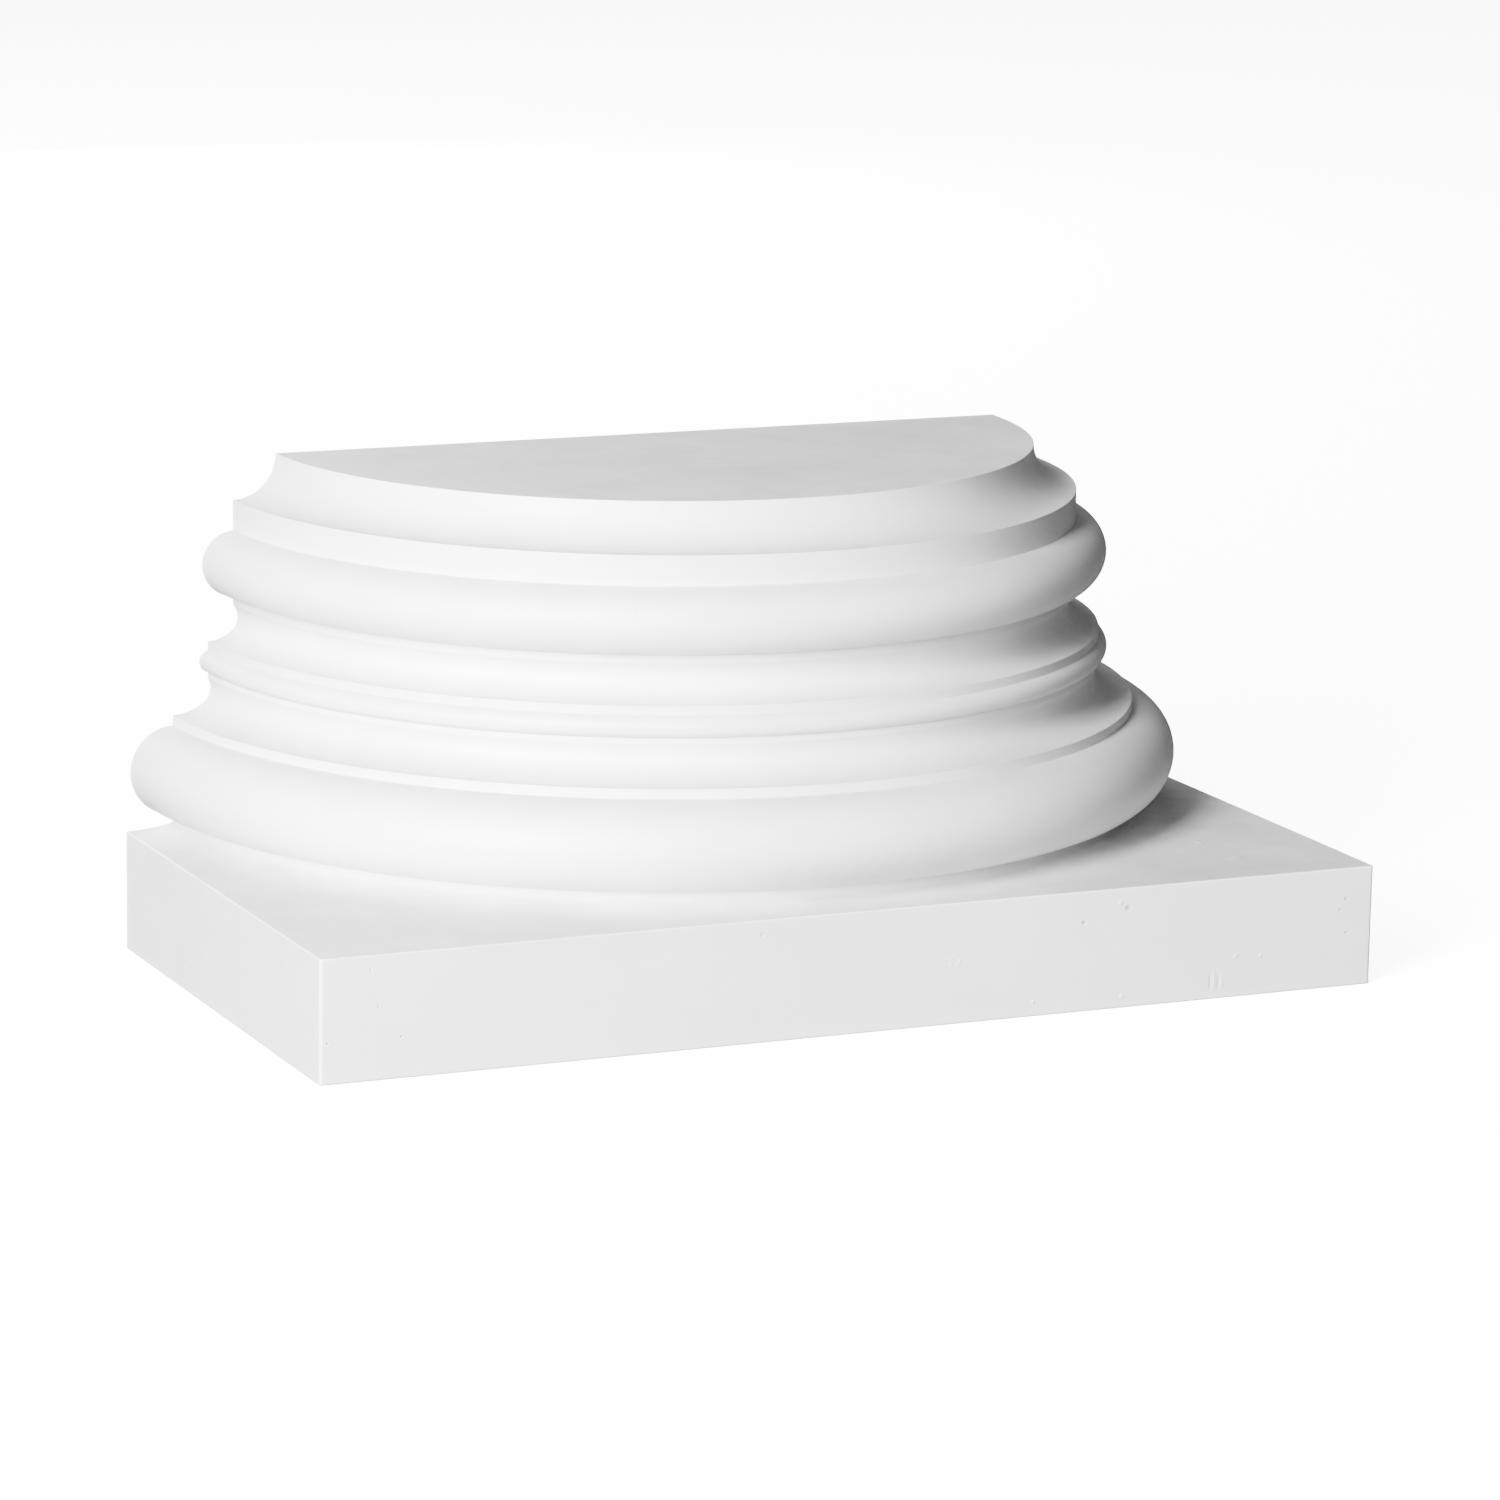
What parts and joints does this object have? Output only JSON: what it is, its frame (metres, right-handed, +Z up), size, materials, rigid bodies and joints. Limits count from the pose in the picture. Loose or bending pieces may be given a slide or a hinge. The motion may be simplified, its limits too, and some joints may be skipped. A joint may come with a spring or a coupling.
{
  "type": "half column base",
  "caption": "Half-round Attic column base on a half-square plinth, with a flat back, for a half column against a wall.",
  "frame": {"origin": "the column's axis where it meets the underside, on the plane of the flat back", "axes": "+Z up along the column's axis; -Y towards the front, away from the wall; +X along the flat back, to the viewer's right"},
  "size_m": [0.418, 0.209, 0.1862],
  "materials": {
    "primed_polyurethane": "satin white factory primer on rigid polyurethane"
  },
  "bodies": {
    "root": {"column_base": "primed_polyurethane"}
  },
  "joints": []
}
